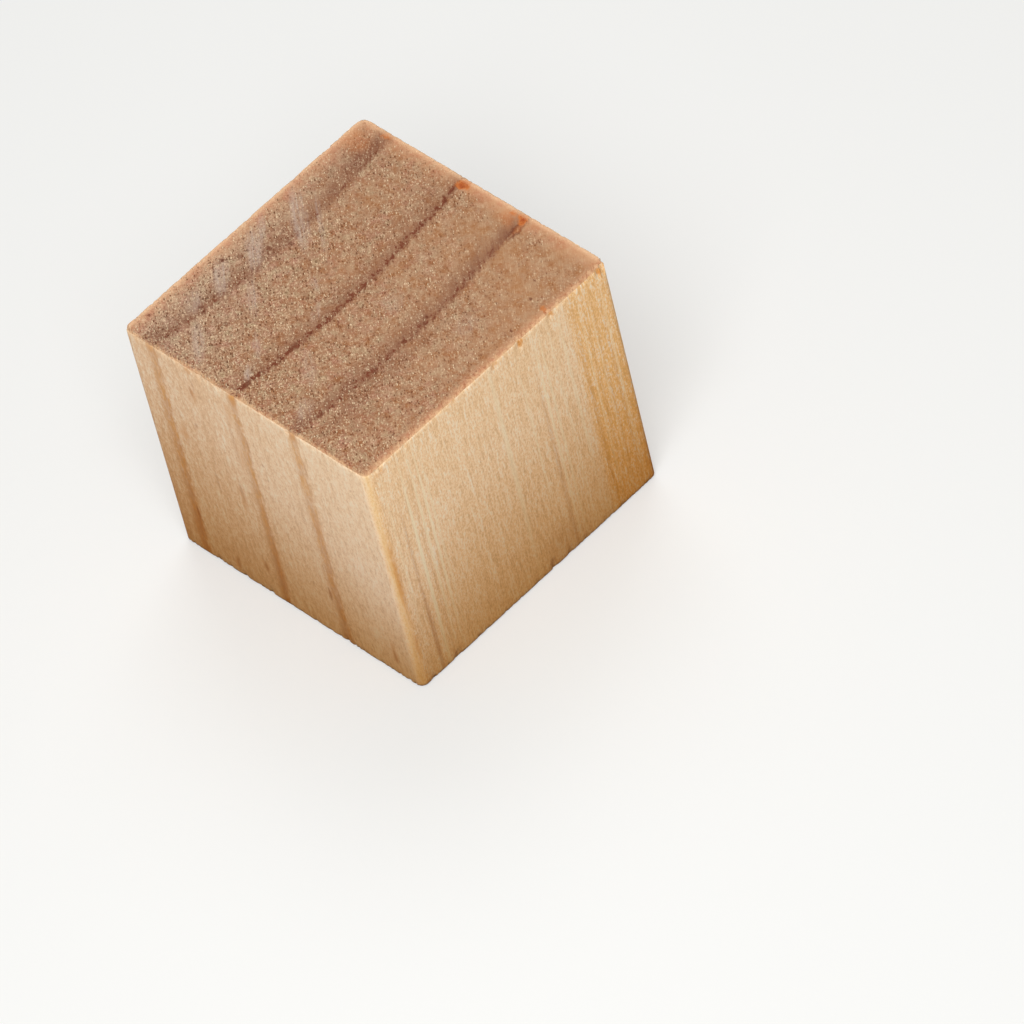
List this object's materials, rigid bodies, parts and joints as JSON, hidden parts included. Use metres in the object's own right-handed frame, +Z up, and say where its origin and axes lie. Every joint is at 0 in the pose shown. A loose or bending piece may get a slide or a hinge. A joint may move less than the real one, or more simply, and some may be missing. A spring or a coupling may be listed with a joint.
{
  "type": "wooden craft cube",
  "caption": "Small pine block, nearly a cube, with planed sides, sawn end-grain top and base, and lightly eased arrises.",
  "frame": {"origin": "centre of the sawn end that the block stands on", "axes": "+Z up along the grain, +X across the growth rings towards the bark side, +Y along the growth rings"},
  "size_m": [0.025, 0.0254, 0.0236],
  "materials": {
    "pine": "matte"
  },
  "bodies": {
    "root": {"wooden_cube": "pine"}
  },
  "joints": []
}
